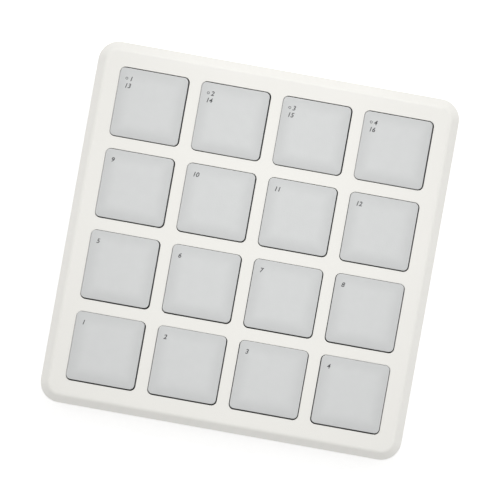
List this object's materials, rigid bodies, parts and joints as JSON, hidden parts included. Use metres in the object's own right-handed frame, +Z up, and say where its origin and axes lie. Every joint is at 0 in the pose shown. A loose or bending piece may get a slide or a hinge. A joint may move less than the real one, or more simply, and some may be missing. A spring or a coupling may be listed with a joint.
{
  "type": "midi pad controller",
  "caption": "Flat square desktop pad controller: a grid of springy grey finger pads in a bevelled white case with a rear USB socket, a circuit board and rubber feet.",
  "frame": {"origin": "on the table under the middle of the case", "axes": "+Z up out of the pads, +Y to the rear where the socket is, +X to the right of the player"},
  "size_m": [0.151, 0.151, 0.0188],
  "materials": {
    "case_plastic": "fine matt texture",
    "pad_silicone": "frosted",
    "mat_silicone": "matt",
    "sensor_film": "satin",
    "circuit_board": "solder mask",
    "light_housing": "gloss",
    "chip_black": "matt",
    "tin_plate": "bright",
    "ceramic": "matt",
    "socket_black": "matt",
    "screw_steel": "zinc plated",
    "foot_rubber": "matt"
  },
  "bodies": {
    "case": {"top_case": "case_plastic", "bottom_case": "case_plastic", "pad_mat": "mat_silicone", "sensor_film": "sensor_film", "main_board": "circuit_board", "pad_lights": "light_housing", "controller_chip": "chip_black", "multiplexer_chip": "chip_black", "voltage_regulator": "chip_black", "crystal": "tin_plate", "capacitors": "ceramic", "resistors": "chip_black", "usb_socket": "tin_plate", "usb_tongue": "socket_black", "board_screws": "screw_steel", "case_screws": "screw_steel", "foot_front_left": "foot_rubber", "foot_front_right": "foot_rubber", "foot_rear_left": "foot_rubber", "foot_rear_right": "foot_rubber"},
    "pad_01_key": {"pad_01": "pad_silicone"},
    "pad_02_key": {"pad_02": "pad_silicone"},
    "pad_03_key": {"pad_03": "pad_silicone"},
    "pad_04_key": {"pad_04": "pad_silicone"},
    "pad_05_key": {"pad_05": "pad_silicone"},
    "pad_06_key": {"pad_06": "pad_silicone"},
    "pad_07_key": {"pad_07": "pad_silicone"},
    "pad_08_key": {"pad_08": "pad_silicone"},
    "pad_09_key": {"pad_09": "pad_silicone"},
    "pad_10_key": {"pad_10": "pad_silicone"},
    "pad_11_key": {"pad_11": "pad_silicone"},
    "pad_12_key": {"pad_12": "pad_silicone"},
    "pad_13_key": {"pad_13": "pad_silicone"},
    "pad_14_key": {"pad_14": "pad_silicone"},
    "pad_15_key": {"pad_15": "pad_silicone"},
    "pad_16_key": {"pad_16": "pad_silicone"}
  },
  "joints": [
    {"name": "pad_01_press", "type": "slide", "parent": "case", "child": "pad_01_key", "axis": [0, 0, -1], "range_m": [0, 0.001], "stiffness_N_per_m": 800, "springref_m": -0.0005, "deforming": ["pad_mat"]},
    {"name": "pad_02_press", "type": "slide", "parent": "case", "child": "pad_02_key", "axis": [0, 0, -1], "range_m": [0, 0.001], "stiffness_N_per_m": 800, "springref_m": -0.0005, "deforming": ["pad_mat"]},
    {"name": "pad_03_press", "type": "slide", "parent": "case", "child": "pad_03_key", "axis": [0, 0, -1], "range_m": [0, 0.001], "stiffness_N_per_m": 800, "springref_m": -0.0005, "deforming": ["pad_mat"]},
    {"name": "pad_04_press", "type": "slide", "parent": "case", "child": "pad_04_key", "axis": [0, 0, -1], "range_m": [0, 0.001], "stiffness_N_per_m": 800, "springref_m": -0.0005, "deforming": ["pad_mat"]},
    {"name": "pad_05_press", "type": "slide", "parent": "case", "child": "pad_05_key", "axis": [0, 0, -1], "range_m": [0, 0.001], "stiffness_N_per_m": 800, "springref_m": -0.0005, "deforming": ["pad_mat"]},
    {"name": "pad_06_press", "type": "slide", "parent": "case", "child": "pad_06_key", "axis": [0, 0, -1], "range_m": [0, 0.001], "stiffness_N_per_m": 800, "springref_m": -0.0005, "deforming": ["pad_mat"]},
    {"name": "pad_07_press", "type": "slide", "parent": "case", "child": "pad_07_key", "axis": [0, 0, -1], "range_m": [0, 0.001], "stiffness_N_per_m": 800, "springref_m": -0.0005, "deforming": ["pad_mat"]},
    {"name": "pad_08_press", "type": "slide", "parent": "case", "child": "pad_08_key", "axis": [0, 0, -1], "range_m": [0, 0.001], "stiffness_N_per_m": 800, "springref_m": -0.0005, "deforming": ["pad_mat"]},
    {"name": "pad_09_press", "type": "slide", "parent": "case", "child": "pad_09_key", "axis": [0, 0, -1], "range_m": [0, 0.001], "stiffness_N_per_m": 800, "springref_m": -0.0005, "deforming": ["pad_mat"]},
    {"name": "pad_10_press", "type": "slide", "parent": "case", "child": "pad_10_key", "axis": [0, 0, -1], "range_m": [0, 0.001], "stiffness_N_per_m": 800, "springref_m": -0.0005, "deforming": ["pad_mat"]},
    {"name": "pad_11_press", "type": "slide", "parent": "case", "child": "pad_11_key", "axis": [0, 0, -1], "range_m": [0, 0.001], "stiffness_N_per_m": 800, "springref_m": -0.0005, "deforming": ["pad_mat"]},
    {"name": "pad_12_press", "type": "slide", "parent": "case", "child": "pad_12_key", "axis": [0, 0, -1], "range_m": [0, 0.001], "stiffness_N_per_m": 800, "springref_m": -0.0005, "deforming": ["pad_mat"]},
    {"name": "pad_13_press", "type": "slide", "parent": "case", "child": "pad_13_key", "axis": [0, 0, -1], "range_m": [0, 0.001], "stiffness_N_per_m": 800, "springref_m": -0.0005, "deforming": ["pad_mat"]},
    {"name": "pad_14_press", "type": "slide", "parent": "case", "child": "pad_14_key", "axis": [0, 0, -1], "range_m": [0, 0.001], "stiffness_N_per_m": 800, "springref_m": -0.0005, "deforming": ["pad_mat"]},
    {"name": "pad_15_press", "type": "slide", "parent": "case", "child": "pad_15_key", "axis": [0, 0, -1], "range_m": [0, 0.001], "stiffness_N_per_m": 800, "springref_m": -0.0005, "deforming": ["pad_mat"]},
    {"name": "pad_16_press", "type": "slide", "parent": "case", "child": "pad_16_key", "axis": [0, 0, -1], "range_m": [0, 0.001], "stiffness_N_per_m": 800, "springref_m": -0.0005, "deforming": ["pad_mat"]}
  ]
}
